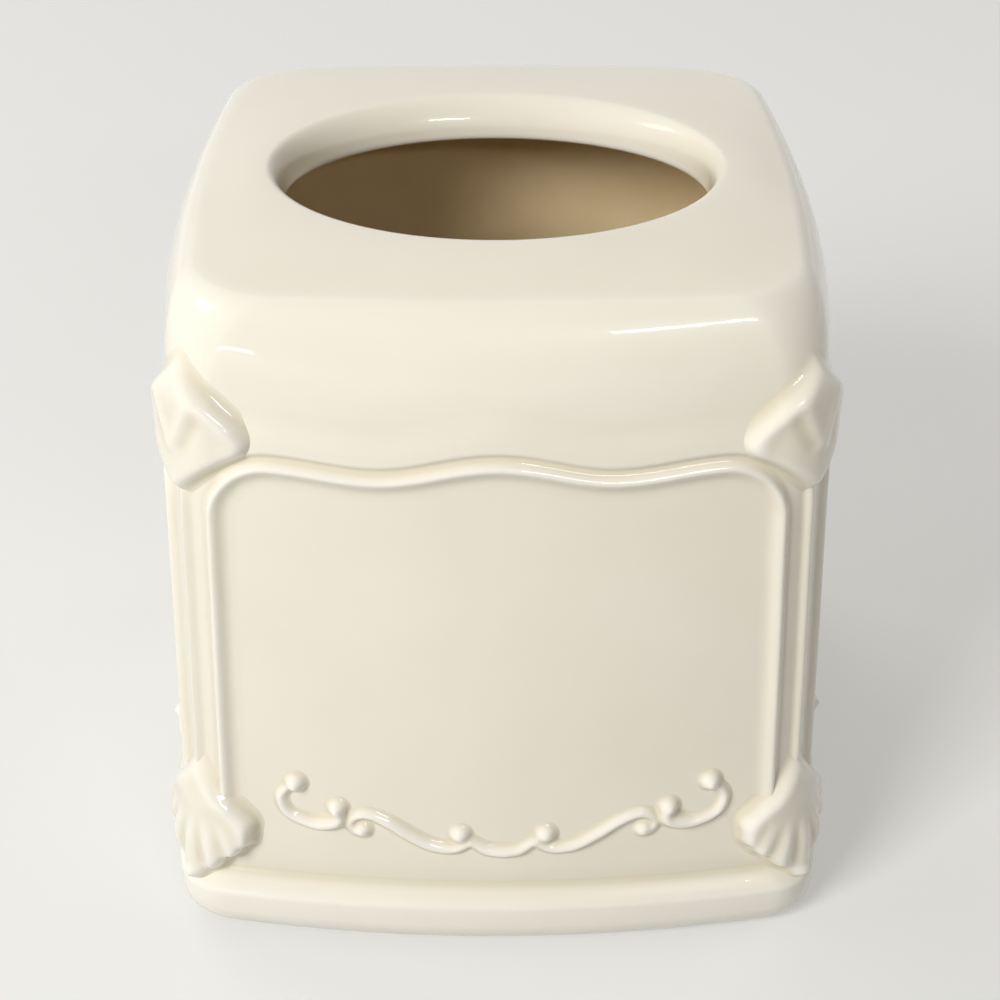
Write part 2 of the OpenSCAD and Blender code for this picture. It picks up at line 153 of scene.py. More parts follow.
# Lower corner shell
LOWER_PATCH = (10, 49)
LOWER_TOP = 46
LOWER_TIP_Z = 29
LOWER_OUTLINE = [(0, 49.5), (1.5, 46.2), (3.4, 43), (6.6, 39), (9.9, 35.2), (12.4, 31.8)]
LOWER_EDGE = [
    (12.4, 31.8), (13.1, 28.8), (12.4, 26.2), (11.4, 23.6), (8.6, 21.2), (5.4, 17.8), (2.6, 14.2),
    (0, 12.6)
]
LOWER_CREST = [(0.3, 45), (1.6, 41.4), (4.6, 37.4), (8, 33.6), (10.4, 30.8), (11.2, 28.6)]
LOWER_TOP_HEIGHT = 1.1
LOWER_RISE = 14
LOWER_HEIGHT = 3.3
LOWER_FULLNESS = 0.8
LOWER_FULL_SPAN = (14, 24)
LOWER_CREST_HEIGHT = 0.5

# Flutes of the lower shell: the angle from one to the next, their depth at the corner line and at the side,
# the angles between which it changes, and the distances from the top between which they come in
FLUTE_ANGLE = 10.2
FLUTE_DEPTH = 0.95
FLUTE_SIDE_DEPTH = 0.15
FLUTE_SIDE_SPAN = (12, 32)
FLUTE_SPAN = (15, 23)
FLUTE_SOFTNESS = 0.02
SCALLOP = 0.5
SCALLOP_SOFTNESS = 0.01

# Both shells: width of the crest, width of the edge's slope above the tip and below it, and the depths under
# the tip between which the one changes to the other
SHELL_CREST_WIDTH = 2.2
LONG_EDGE = 4
SHORT_EDGE = 2
EDGE_CHANGE_SPAN = (-8, 2)
SHELL_HALF_WIDTH = 18.5
SHELL_BLUR = 17

# Garland, with places as shares of its half width and of its height
GARLAND_Z = 25
GARLAND_HEIGHT = 18
GARLAND_MARGIN = 17.1
# Each garland was set by hand, a little to the right of the middle of its wall
GARLAND_OFFSET = 1.2
GARLAND_BLUR = 5
# Room on its patch beside the garland, and over and under it
PATCH_BESIDE = 4.5
PATCH_OVER = 3
# Reach of a strand to its steep side and to its gentle side, and its height
STRAND_STEEP = 1.35
STRAND_GENTLE = 2
STRAND_HEIGHT = 1.6
END_SCROLL = [
    (0.91, 0.93), (0.953, 0.86), (0.99, 0.68), (0.955, 0.45), (0.85, 0.33), (0.76, 0.36), (0.72, 0.46),
    (0.733, 0.62)
]
END_SCROLL_WIDTHS = (0.65, 0.75, 0.85, 0.9, 1, 1.25, 1.35, 1.2)
WAVE_SCROLL = [
    (0.652, 0.26), (0.676, 0.38), (0.645, 0.49), (0.59, 0.51), (0.51, 0.41), (0.42, 0.24), (0.32, 0.085),
    (0.22, 0.045), (0.152, 0.13)
]
WAVE_SCROLL_WIDTHS = (0.7, 0.8, 0.9, 1, 1.05, 1.05, 1.05, 0.95, 0.8)
CRESCENT = [(0.155, 0.19), (0.075, 0.035), (0, 0)]
CRESCENT_WIDTHS = (0.7, 1, 1.1)
STRANDS = ((END_SCROLL, END_SCROLL_WIDTHS), (WAVE_SCROLL, WAVE_SCROLL_WIDTHS), (CRESCENT, CRESCENT_WIDTHS))
# Place of each bead, its radius and its height
GARLAND_BEADS = [
    ((0.915, 0.93), 2.55, 2.8), ((0.733, 0.6), 2.5, 2.4), ((0.625, 0.29), 2.3, 1.9),
    ((0.19, 0.275), 2.55, 2.2)
]
# The higher this is, the less two parts of the relief melt into each other where they meet
MELT = 4
# The lower this is, the fuller the round of a strand or a bead
BELL_POWER = 1.2

# Steps between two points of a shell's line, of its scalloped edge and of a strand, and the even points that
# the last two are then divided into
OUTLINE_STEPS = 6
EDGE_STEPS = 12
EDGE_POINTS = 90
STRAND_STEPS = 10
STRAND_POINTS = 60

# Colours of the glaze: over flat stretches, where it pools in hollows and is painted darker as shade, where
# it runs thin on crests and is painted paler as a highlight, and in a pinhole
GLAZE_PALE = "EBE5D6"
GLAZE_WARM = "E5DDCA"
GLAZE_POOLED_SHADE = "CFC4A6"
GLAZE_THIN_HIGHLIGHT = "F5F2EA"
GLAZE_SPECK = "6E5E48"
# Colours of the inside: warmer and darker than the glaze outside, as painted shade of the inside
WASH_SHADE_PALE = "E4D1AA"
WASH_SHADE_DEEP = "D6BC8F"
BISCUIT_PALE = "F1ECE2"
BISCUIT_DEEP = "DDD4C4"

# How far, in mm, the surface stands out of its surroundings where the glaze starts to pool, painted darker as
# shade, or to run thin, painted paler as a highlight, and where it does so most, and the share of the colour
# that shows there
POOL_SHADE_SPAN = (0.02, -0.24)
POOL_SHADE_SHARE = 0.5
THIN_HIGHLIGHT_SPAN = (0.04, 0.4)
THIN_HIGHLIGHT_SHARE = 0.5

# Grain of the surfaces: clouds, swells and pinholes of the glaze, streaks of the wash and grain of the clay
CLOUD_SIZE = 28
SWELL_SIZE = 12
SWELL_HEIGHT = 0.05
SPECK_SPACING = 11
SPECK_RARITY = 0.93
SPECK_SIZE = 0.022
STREAK_SIZE = 18
STREAK_HEIGHT = 0.1
GRAIN_SIZE = 0.8
GRAIN_HEIGHT = 0.1
GRAIN_STRENGTH = 0.6
GLAZE_IOR = 1.5

WALL_NAMES = ("front", "right", "back", "left")
CORNER_NAMES = ("front_right", "back_right", "back_left", "front_left")

# The unevenness of a cast wall, too slight to see but for the way that it bends reflections: three waves,
# each with its run along x, y and z and its start. It grows over the lowest stretch of the wall, and near the
# middle axis it fades to nothing.
WARP = 0.1
WARP_LENGTH = 62
WARP_WAVES = (((0.8, 0, 0.55), 1.1), ((0, 0.9, -0.7), 0.4), ((0.35, -0.4, 1.3), 0))
WARP_RISE = 20
WARP_CORE = 20

# Depth of the hidden back of a relief piece inside the wall, and of its edge
BURIED = 0.9
SUNK = 0.08

# Grid of a moulded patch, the height at which it is cut off, and that under which it dips into the wall
PATCH_STEP = 0.26
PATCH_EDGE = 0.006
PATCH_MELT = 0.03

# Rounds of smoothing that even out the surroundings of a point, on a patch's grid and on a mesh
CREST_GRID_ROUNDS = 40
CREST_MESH_ROUNDS = 24
# Angle from which an edge stays sharp
SHARP_ANGLE = 60
# Least distance that is divided by
TINY = 1e-9


def mix(a, b, share):
    return a + (b - a) * share


def ease(share):
    return (1 - math.cos(math.pi * share)) / 2


def ramp(value, low, high):
    """0 below low, 1 above high, and a smooth rise between them, for a number or an array."""
    share = np.clip((value - low) / (high - low), 0, 1)
    return share * share * (3 - 2 * share)


def hump(distance, width):
    """A soft bump for a number or an array: 1 at no distance, falling to nothing within about two widths."""
    return np.exp(-(distance / width) ** 2)


class Plan:
    """A plan outline with four bowed sides and round corners."""

    def __init__(self, half, bow, corner):
        self.half = half
        self.bow = bow
        self.corner = corner
        self.radius = (half * half + bow * bow) / (2 * bow)
        self.centre = half - self.radius
        reach = self.radius - corner
        k = self.centre
        self.corner_centre = (2 * k + math.sqrt(4 * k * k - 8 * (k * k - reach * reach))) / 4
        self.turn = math.atan2(self.corner_centre, self.corner_centre - k)
        self.bow_length = self.radius * self.turn
        self.half_length = self.bow_length + corner * (math.pi / 4 - self.turn)

    def place(self, t):
        """Distance along the side, distance out from the middle, and the angle that the outline faces."""
        if t <= self.bow_length:
            u = t / self.radius
            return self.radius * math.sin(u), self.centre + self.radius * math.cos(u), u
        u = self.turn + (t - self.bow_length) / self.corner
        middle = self.corner_centre
        return middle + self.corner * math.sin(u), middle + self.corner * math.cos(u), u


def wall_half(z):
    """Half width of the wall at a height under the shoulder, with its line drawn on down to the foot."""
    return mix(WALL_HALF_LOW, WALL_HALF_HIGH, (z - COVE_TOP) / (SHOULDER_Z - COVE_TOP))


def shoulder_share(z):
    return max(0, (z - SHOULDER_Z) / SHOULDER_HEIGHT)


def wall_plan(z):
    """The line of the wall at a height, from the foot to the top of the shoulder."""
    share = shoulder_share(z)
    if share == 0:
        return Plan(wall_half(z), WALL_BOW, CORNER_R)
    turn = share * share
    half = TOP_HALF + SHOULDER_IN * math.sqrt(max(0, 1 - turn))
    return Plan(half, mix(WALL_BOW, TOP_BOW, turn), mix(CORNER_R, TOP_CORNER_R, turn))


def wall_tilt(z):
    """How far the wall faces up at a height, in radians."""
    share = shoulder_share(z)
    if share == 0:
        return math.atan(WALL_LEAN / (SHOULDER_Z - COVE_TOP))
    return math.atan(SHOULDER_IN / SHOULDER_HEIGHT * share / math.sqrt(1 - share * share))


def flare(z):
    """Distance that the cove and the rim stand out past the line of the wall."""
    if z >= COVE_TOP:
        return 0
    return RIM_HALF - RIM_PROUD * ease(max(0, (z - RIM_HEIGHT) / COVE_HEIGHT)) - wall_half(z)


def half_length(z):
    return wall_plan(z).half_length


GARLAND_HALF = half_length(GARLAND_Z) - GARLAND_MARGIN


def on_wall(t, z, h):
    """The point at a height h over the front wall."""
    x, y, u = wall_plan(z).place(abs(t))
    tilt = wall_tilt(z)
    out = h * math.cos(tilt)
    side = -1 if t < 0 else 1
    return side * (x + out * math.sin(u)), -y - out * math.cos(u), z + h * math.sin(tilt)


def on_corner(s, z, h):
    """The point at a height h over the front right corner, on the front wall where s is over 0."""
    x, y, up = on_wall(half_length(z) - abs(s), z, h)
    return (x, y, up) if s >= 0 else (-y, -x, up)


# Meshes

def select_none():
    if bpy.context.mode != "OBJECT":
        bpy.ops.object.mode_set(mode="OBJECT")
    bpy.ops.object.select_all(action="DESELECT")


def loft(name, rings, closed=False):
    """A skin through closed rings of points: a circle, extruded ring by ring, each moved to its points.

    The two open ends are capped, or joined to each other where closed is set.
    """
    select_none()
    columns = len(rings[0])
    bpy.ops.mesh.primitive_circle_add(vertices=columns, radius=1)
    piece = bpy.context.object
    piece.name = piece.data.name = name
    bpy.ops.object.mode_set(mode="EDIT")
    bpy.ops.mesh.select_all(action="SELECT")
    mesh = bmesh.from_edit_mesh(piece.data)
    column = mesh.verts.layers.int.new("column")
    for number, vert in enumerate(mesh.verts):
        vert[column] = number
    for number, ring in enumerate(rings):
        if number:
            bpy.ops.mesh.extrude_region()
            mesh = bmesh.from_edit_mesh(piece.data)
            column = mesh.verts.layers.int["column"]
        for vert in mesh.verts:
            if vert.select:
                vert.co = [length * MM for length in ring[vert[column]]]
    mesh.verts.layers.int.remove(column)
    bmesh.update_edit_mesh(piece.data)
    bpy.ops.mesh.select_all(action="DESELECT")
    bpy.ops.mesh.select_mode(type="EDGE")
    bpy.ops.mesh.select_non_manifold(extend=False)
    if closed:
        bpy.ops.mesh.bridge_edge_loops()
    else:
        bpy.ops.mesh.fill_holes(sides=0)
    bpy.ops.mesh.select_all(action="SELECT")
    bpy.ops.mesh.normals_make_consistent(inside=False)
    bpy.ops.mesh.select_mode(type="VERT")
    bpy.ops.object.mode_set(mode="OBJECT")
    return piece


def turned_copy(piece, name, quarters):
    """A copy of the piece with its own mesh, a number of quarter turns round the cover."""
    copy = piece.copy()
    copy.data = piece.data.copy()
    copy.name = copy.data.name = name
    bpy.context.collection.objects.link(copy)
    copy.data.transform(Matrix.Rotation(QUARTER * quarters, 4, "Z"))
    return copy


def warp(piece):
    """Bends the piece with the slight unevenness that all of the casting shares."""
    count = len(piece.data.vertices)
    place = np.empty(count * 3)
    piece.data.vertices.foreach_get("co", place)
    place = place.reshape(-1, 3)
    turns = place / (WARP_LENGTH * MM) * 2 * math.pi
    push = sum(np.sin(turns @ run + start) for run, start in WARP_WAVES) / len(WARP_WAVES)
    out = place[:, :2] / np.maximum(np.linalg.norm(place[:, :2], axis=1), WARP_CORE * MM)[:, None]
    rise = np.clip(place[:, 2] / (WARP_RISE * MM), 0, 1)
    place[:, :2] += out * (push * rise * WARP * MM)[:, None]
    piece.data.vertices.foreach_set("co", place.ravel())


def mark_crests(piece, kept=1):
    """Stores on each point how far it stands out of its surroundings, in mm: the glaze runs thin on crests
    and is painted paler there as a highlight, and pools in hollows and is painted darker there as shade.

    kept is the share of this that each point keeps, less towards an edge that melts into the wall.
    """
    mesh = piece.data
    count = len(mesh.vertices)
    place = np.empty(count * 3)
    mesh.vertices.foreach_get("co", place)
    place = place.reshape(-1, 3)
    normal = np.array([vert.normal for vert in mesh.vertices])
    edges = np.empty(len(mesh.edges) * 2, int)
    mesh.edges.foreach_get("vertices", edges)
    edges = edges.reshape(-1, 2)
    links = np.maximum(np.bincount(edges.ravel(), minlength=count), 1)[:, None]
    smooth = place.copy()
    for _ in range(CREST_MESH_ROUNDS):
        total = np.zeros_like(smooth)
        np.add.at(total, edges[:, 0], smooth[edges[:, 1]])
        np.add.at(total, edges[:, 1], smooth[edges[:, 0]])
        smooth = (smooth + total / links) / 2
    stand = ((place - smooth) * normal).sum(axis=1) / MM * kept
    mesh.attributes.new("crest", "FLOAT", "POINT").data.foreach_set("value", stand.astype(np.float32))


def blur(grid, rounds):
    """Rounds off heights on a grid, as the glaze does to the relief."""
    for _ in range(rounds):
        for axis in (0, 1):
            ends = np.pad(grid, [(1, 1) if axis == i else (0, 0) for i in (0, 1)], mode="edge")
            before, after = (ends[:-2], ends[2:]) if axis == 0 else (ends[:, :-2], ends[:, 2:])
            grid = (before + 2 * grid + after) / 4
    return grid


def mould(name, half_width, span, spot, lift, rounds):
    """Relief on a patch of the wall: a grid, cut to where the relief rises, is extruded, and its front takes
    the relief's heights while its back stays inside the wall.

    span is the patch's lowest and highest z. spot gives the point at a height over a place on the wall, and
    lift the height of the relief over places.
    """
    select_none()
    low, high = span
    across = round(2 * half_width / PATCH_STEP)
    up = round((high - low) / PATCH_STEP)
    bpy.ops.mesh.primitive_grid_add(x_subdivisions=across, y_subdivisions=up, size=2)
    piece = bpy.context.object
    piece.name = piece.data.name = name
    flat = np.array([vert.co[:2] for vert in piece.data.vertices])
    places = flat * [half_width, (high - low) / 2] + [0, (high + low) / 2]
    grid = blur(lift(places).reshape(up + 1, across + 1), rounds)
    stands = (grid - blur(grid, CREST_GRID_ROUNDS)).ravel()
    heights = grid.ravel()
    fronts = heights - SUNK * (1 - ramp(heights, 0, PATCH_MELT))
    bpy.ops.object.mode_set(mode="EDIT")
    bpy.ops.mesh.select_mode(type="VERT")
    bpy.ops.mesh.select_all(action="DESELECT")
    mesh = bmesh.from_edit_mesh(piece.data)
    crest = mesh.verts.layers.float.new("crest")
    raised = mesh.verts.layers.float.new("raised")
    for vert, (s, z), height, front, stand in zip(mesh.verts, places, heights, fronts, stands):
        vert.co = s, z, 0
        vert[crest] = stand
        vert[raised] = front
        vert.select = height < PATCH_EDGE
    bmesh.update_edit_mesh(piece.data)
    bpy.ops.mesh.delete(type="VERT")
    bpy.ops.mesh.select_all(action="SELECT")
    bpy.ops.mesh.extrude_region()
    mesh = bmesh.from_edit_mesh(piece.data)
    raised = mesh.verts.layers.float["raised"]
    for vert in mesh.verts:
        s, z = vert.co[:2]
        height = flare(z) + vert[raised] if vert.select else -BURIED
        vert.co = [length * MM for length in spot(s, z, height)]
    mesh.verts.layers.float.remove(raised)
    bmesh.update_edit_mesh(piece.data)
    bpy.ops.mesh.select_all(action="SELECT")
    bpy.ops.mesh.normals_make_consistent(inside=False)
    bpy.ops.object.mode_set(mode="OBJECT")
    return piece


def finish(piece, node, *materials):
    """Warps and smooths the piece, gives it its glaze and seats it on the body in place of its CAD node."""
    warp(piece)
    select_none()
    piece.select_set(True)
    bpy.context.view_layer.objects.active = piece
    bpy.ops.object.shade_smooth_by_angle(angle=math.radians(SHARP_ANGLE))
    if "crest" not in piece.data.attributes:
        mark_crests(piece)
    for material in materials:
        piece.data.materials.append(material)
    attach(piece, "root")
    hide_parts(node)


def finish_all_round(piece, node, places, material):
    """Copies the piece to the other walls or corners, and finishes all four."""
    copies = [turned_copy(piece, node.format(place) + "_sprig", i) for i, place in enumerate(places) if i]
    for sprig, place in zip([piece, *copies], places):
        finish(sprig, node.format(place), material)


# Casting

# Points along half of a side: on its bow and on its corner
BOW_STEPS = 22
CORNER_STEPS = 14
# Rings of the outside, from the foot up and over the lip
FOOT_RINGS = 10
COVE_RINGS = 14
WALL_RINGS = 28
SHOULDER_RINGS = 36
CROWN_RINGS = 14
ROLL_RINGS = 24
LIP_RINGS = 8
# Rings of the inside, from the lip back down to the foot
ROOT_RINGS = 6
CEILING_RINGS = 6
INNER_SHOULDER_RINGS = 14
INNER_WALL_RINGS = 14
INNER_FOOT_RINGS = 6
# The last rings of the outside, under the lip, which have the wash of the inside
LIP_UNDER_RINGS = 5
WASH_INDEX = 1
BISCUIT_INDEX = 2


def plan_points(plan):
    """Points round a plan outline, from the middle of the front side, closer together at the corners."""
    steps = [plan.bow_length * i / BOW_STEPS for i in range(BOW_STEPS)]
    steps += [mix(plan.bow_length, plan.half_length, i / CORNER_STEPS) for i in range(CORNER_STEPS + 1)]
    right = [plan.place(t)[:2] for t in steps]
    side = [(x, -y) for x, y in right] + [(y, -x) for x, y in reversed(right[1:-1])]
    points = []
    for _ in range(4):
        points += side
        side = [(-y, x) for x, y in side]
    return points


def body_ring(plan, z):
    return [(x, y, z) for x, y in plan_points(plan)]


MOUTH_ANGLES = [
    math.atan2(y / MOUTH_B, x / MOUTH_A) for x, y in plan_points(Plan(TOP_HALF, TOP_BOW, TOP_CORNER_R))
]


def oval_ring(a, b, z):
    return [(a * math.cos(u), b * math.sin(u), z) for u in MOUTH_ANGLES]


def mixed_ring(low, high, share, z):
    return [(mix(p[0], q[0], share), mix(p[1], q[1], share), z) for p, q in zip(low, high)]


def shares(steps, first=1, last=None):
    """Even shares from first / steps to last / steps."""
    return [i / steps for i in range(first, (steps if last is None else last) + 1)]


def outer_rings():
    """The glazed outside, from the edge of the foot ring up to the mouth and round its lip."""
    rings = []
    for share in shares(FOOT_RINGS, first=0):
        u = QUARTER * share
        plan = Plan(RIM_HALF - FOOT_ROUND_IN * (1 - math.sin(u)), WALL_BOW, CORNER_R)
        rings.append(body_ring(plan, FOOT_ROUND_UP * (1 - math.cos(u))))
    for share in shares(COVE_RINGS, first=0):
        plan = Plan(RIM_HALF - RIM_PROUD * ease(share), WALL_BOW, CORNER_R)
        rings.append(body_ring(plan, RIM_HEIGHT + COVE_HEIGHT * share))
    for share in shares(WALL_RINGS):
        z = mix(COVE_TOP, SHOULDER_Z, share)
        rings.append(body_ring(wall_plan(z), z))
    for share in shares(SHOULDER_RINGS):
        z = SHOULDER_Z + SHOULDER_HEIGHT * math.sin(QUARTER * SHOULDER_TURN * share)
        rings.append(body_ring(wall_plan(z), z))
    shoulder_end = rings[-1]
    crown_foot = shoulder_end[0][2]
    roll_start = oval_ring(MOUTH_A + ROLL_ENDS, MOUTH_B + ROLL_FRONT, HEIGHT)
    for share in shares(CROWN_RINGS, last=CROWN_RINGS - 1):
        z = mix(crown_foot, HEIGHT, math.sin(QUARTER * share))
        rings.append(mixed_ring(shoulder_end, roll_start, share, z))
    for share in shares(ROLL_RINGS, first=0):
        u = QUARTER * share
        near = 1 - math.sin(u)
        z = HEIGHT - LIP_DROP * (1 - math.cos(u))
        rings.append(oval_ring(MOUTH_A + ROLL_ENDS * near, MOUTH_B + ROLL_FRONT * near, z))
    for share in shares(LIP_RINGS):
        u = math.pi * share
        out = LIP_EDGE / 2 * (1 - math.cos(u))
        z = HEIGHT - LIP_DROP - LIP_EDGE / 2 * math.sin(u)
        rings.append(oval_ring(MOUTH_A + out, MOUTH_B + out, z))
    return rings


def inner_plan(z):
    """The line of the inside, a wall's thickness in from the outside."""
    plan = wall_plan(z)
    return Plan(plan.half - WALL_THICK, plan.bow, max(plan.corner - WALL_THICK, WALL_THICK))


def inner_rings():
    """The inside, from behind the lip across the ceiling and down the walls to the foot."""
    ceiling_z = SHOULDER_TOP - WALL_THICK
    ceiling = body_ring(inner_plan(SHOULDER_TOP), ceiling_z)
    lip_z = HEIGHT - LIP_DROP
    lip = oval_ring(MOUTH_A + LIP_EDGE, MOUTH_B + LIP_EDGE, lip_z)
    root_rise = CROWN_RISE / 2
    root_z = ceiling_z + root_rise
    root = oval_ring(MOUTH_A + ROLL_ENDS + WALL_THICK, MOUTH_B + ROLL_FRONT + WALL_THICK, root_z)
    rings = []
    for share in shares(ROOT_RINGS):
        rings.append(mixed_ring(lip, root, share, mix(lip_z, root_z, math.sin(QUARTER * share))))
    for share in shares(CEILING_RINGS, last=CEILING_RINGS - 1):
        rings.append(mixed_ring(root, ceiling, share, ceiling_z + root_rise * (1 - ease(share))))
    for share in reversed(shares(INNER_SHOULDER_RINGS, first=0)):
        rise = math.sin(QUARTER * share)
        plan = inner_plan(SHOULDER_Z + SHOULDER_HEIGHT * rise)
        rings.append(body_ring(plan, SHOULDER_Z + (SHOULDER_HEIGHT - WALL_THICK) * rise))
    for share in shares(INNER_WALL_RINGS):
        z = mix(SHOULDER_Z, COVE_TOP, share)
        rings.append(body_ring(inner_plan(z), z))
    low = body_ring(inner_plan(COVE_TOP), COVE_TOP)
    foot = body_ring(Plan(RIM_HALF - FOOT_ROUND_IN - FOOT_RING, WALL_BOW, CORNER_R - WALL_THICK), 0)
    for share in shares(INNER_FOOT_RINGS):
        rings.append(mixed_ring(low, foot, share, COVE_TOP * (1 - share)))
    return rings


def make_casting(glaze, wash, biscuit):
    """The body. Its outside and lip are dipped, its inside has a thin wash painted warmer and darker with the
    shade inside, and the foot is wiped bare.
    """
    outside = outer_rings()
    casting = loft("cover_shell_casting", outside + inner_rings(), closed=True)
    columns = len(outside[0])
    for face in casting.data.polygons:
        rings = [index // columns for index in face.vertices]
        if max(rings) - min(rings) > 1:
            face.material_index = BISCUIT_INDEX
        elif min(rings) >= len(outside) - LIP_UNDER_RINGS:
            face.material_index = WASH_INDEX
    finish(casting, "cover_shell", glaze, wash, biscuit)


# Panel frames

BEND_TOP_Z = FRAME_TOP - WAVE_DIP + WAVE_RISE
BEND_Z = BEND_TOP_Z - FRAME_CORNER_R
BEAD_END_T = half_length(BEND_TOP_Z) - BEAD_INSET - FRAME_CORNER_R
HOLLOW_T = BEAD_END_T * HOLLOW_SHARE
# Points across the front of a frame, width of the last strip, and step from one point of the back to the next
FRAME_STRIPS = 46
LAST_STRIP = 0.05
BACK_EVERY = 9
# Strips at the two edges over which a frame's marks of thin and pooled glaze, with their painted highlight
# and shade, fade
FADE_IN_STRIPS = (4, 12)
FADE_OUT_STRIPS = (0, 6)
# Rings of half of the top, of a bend and of a side bar
TOP_RINGS = 72
BEND_RINGS = 34
BAR_RINGS = 30
# Shares of a bend over which the step goes and the ridge comes
STEP_GOES = (0.1, 0.6)
RIDGE_COMES = (0.5, 1)
# Distance over which the tilt of the top is measured, and the least turn of a bend that is divided by
TILT_PROBE = BEAD_END_T / 200
LEAST_TURN = 0.01


def wave_z(t):
    """Height of the bead line over the panel, with a crest in the middle and a hollow on either side."""
    if t < HOLLOW_T:
        return FRAME_TOP - WAVE_DIP * ease(t / HOLLOW_T)
    return FRAME_TOP - WAVE_DIP + WAVE_RISE * ease((t - HOLLOW_T) / (BEAD_END_T - HOLLOW_T))


def bead_relief(v):
    """Height of the bead at a distance out from its line: steep outside, with a soft slope to the panel."""
    if v > 0:
        return BEAD_HEIGHT * hump(v, BEAD_WIDTH * BEAD_STEEP)
    bead = BEAD_HEIGHT * hump(v, BEAD_WIDTH * BEAD_SOFT)
    slope = BEAD_SLOPE_HEIGHT * hump(v + BEAD_SLOPE_IN, BEAD_SLOPE_WIDTH)
    return bead + slope - SUNK * ramp(-v, FRAME_IN - LANDING, FRAME_IN)


def step_relief(v):
    """Height of the band beside the bead and of the step past it, which fades into the frieze."""
    band = BAND_HEIGHT * ramp(v, 0, BAND_START)
    rise = (STEP_HEIGHT - BAND_HEIGHT) * ramp(v, STEP_OUT - STEP_BEFORE, STEP_OUT + STEP_AFTER)
    landing = STEP_FADE_END - LANDING
    fade = ramp(v, STEP_OUT + STEP_FLAT, landing)
    return (band + rise) * (1 - fade) - SUNK * ramp(v, landing, STEP_FADE_END)


def ridge_relief(s, v):
    """Height of the groove beside the bead and of the ridge along the corner line, a distance s from it."""
    return (GROOVE_HEIGHT + RIDGE_HEIGHT * hump(s, RIDGE_WIDTH)) * ramp(v, 0, RIDGE_CLEARANCE)


def frame_ring(place, reach, relief):
    """A section of the frame: place gives the spot on the wall at a distance out from the bead line."""
    offsets = [mix(-FRAME_IN, reach - LAST_STRIP, share) for share in shares(FRAME_STRIPS - 1, first=0)]
    offsets.append(reach)
    front = [on_wall(*place(v), relief(v)) for v in offsets]
    back = [on_wall(*place(v), -BURIED) for v in reversed(offsets[::BACK_EVERY])]
    return front + back


def frame_half():
    """Sections of the right half of a frame, from the middle of the wall to the foot of the side bar."""
    rings = []
    for share in shares(TOP_RINGS, first=0, last=TOP_RINGS - 1):
        t = BEAD_END_T * share
        rise = wave_z(t + TILT_PROBE) - wave_z(max(t - TILT_PROBE, 0))
        tilt = math.atan(rise / (2 * TILT_PROBE)) if share else 0
        rings.append(frame_ring(
            lambda v: (t - v * math.sin(tilt), wave_z(t) + v * math.cos(tilt)),
            STEP_FADE_END, lambda v: bead_relief(v) + step_relief(v)
        ))
    for share in shares(BEND_RINGS, first=0):
        u = QUARTER * share
        turn = math.sin(u)
        inset = BEAD_INSET + FRAME_CORNER_R * (1 - turn)
        reach = min(STEP_FADE_END, inset / max(turn, LEAST_TURN))
        step = 1 - ramp(share, *STEP_GOES)
        ridge = ramp(share, *RIDGE_COMES)

        def place(v):
            z = BEND_Z + (FRAME_CORNER_R + v) * math.cos(u)
            return mix(half_length(BEND_TOP_Z), half_length(z), turn) - inset + v * turn, z

        def relief(v):
            return bead_relief(v) + step * step_relief(v) + ridge * ridge_relief(inset - v * turn, v)

        rings.append(frame_ring(place, reach, relief))
    for share in shares(BAR_RINGS):
        def place(v):
            z = mix(BEND_Z, BAR_FOOT_Z, share) - share * (BEAD_INSET - v)
            return half_length(z) - BEAD_INSET + v, z

        rings.append(frame_ring(
            place, BEAD_INSET, lambda v: bead_relief(v) + ridge_relief(BEAD_INSET - v, v)
        ))
    return rings


def make_frames(glaze):
    """One frame on each wall. The right half of the front one is made, mirrored and lofted in one go."""
    right = frame_half()
    left = [[(-x, y, z) for x, y, z in ring] for ring in right[:0:-1]]
    frame_piece = loft("panel_frame_front_sprig", left + right)
    columns = np.arange(len(frame_piece.data.vertices)) % len(right[0])
    kept = ramp(columns, *FADE_IN_STRIPS) * ramp(FRAME_STRIPS - columns, *FADE_OUT_STRIPS)
    mark_crests(frame_piece, kept)
    finish_all_round(frame_piece, "panel_frame_{}", WALL_NAMES, glaze)


# Relief

def curve(points, steps):
    """A smooth line through the points, with the given number of steps between each two."""
    ends = np.array([points[0], *points, points[-1]], float)
    ends[0] = 2 * ends[1] - ends[2]
    ends[-1] = 2 * ends[-2] - ends[-3]
    line = []
    for a, b, c, d in zip(ends, ends[1:], ends[2:], ends[3:]):
        for i in range(steps):
            f = i / steps
            bend = (a * 2 - b * 5 + c * 4 - d) * f ** 2 + (b * 3 - a - c * 3 + d) * f ** 3
            line.append(b + ((c - a) * f + bend) / 2)
    return np.array(line + [ends[-2]])


def evenly(line, count):
    """The line again, with its points at even distances."""
    length = np.concatenate([[0], np.cumsum(np.linalg.norm(np.diff(line, axis=0), axis=1))])
    at = np.linspace(0, length[-1], count)
    return np.stack([np.interp(at, length, line[:, 0]), np.interp(at, length, line[:, 1])], axis=1)


def nearest(places, line):
    """For each place its distance from the line, the share of the line's length that is nearest, and the side
    on which it lies: 1 on the left, -1 on the right and between them past an end."""
    away = np.full(len(places), np.inf)
    along = np.zeros(len(places))
    side = np.zeros(len(places))
    past = 0
    for start, way in zip(line, np.diff(line, axis=0)):
        length = np.hypot(*way)
        share = np.clip((places - start) @ way / length ** 2, 0, 1)
        off = places - start - share[:, None] * way
        reach = np.maximum(np.hypot(off[:, 0], off[:, 1]), TINY)
        near = reach < away
        away[near] = reach[near]
        along[near] = past + share[near] * length
        side[near] = ((way[0] * off[:, 1] - way[1] * off[:, 0]) / length / reach)[near]
        past += length
    return away, along / past, side


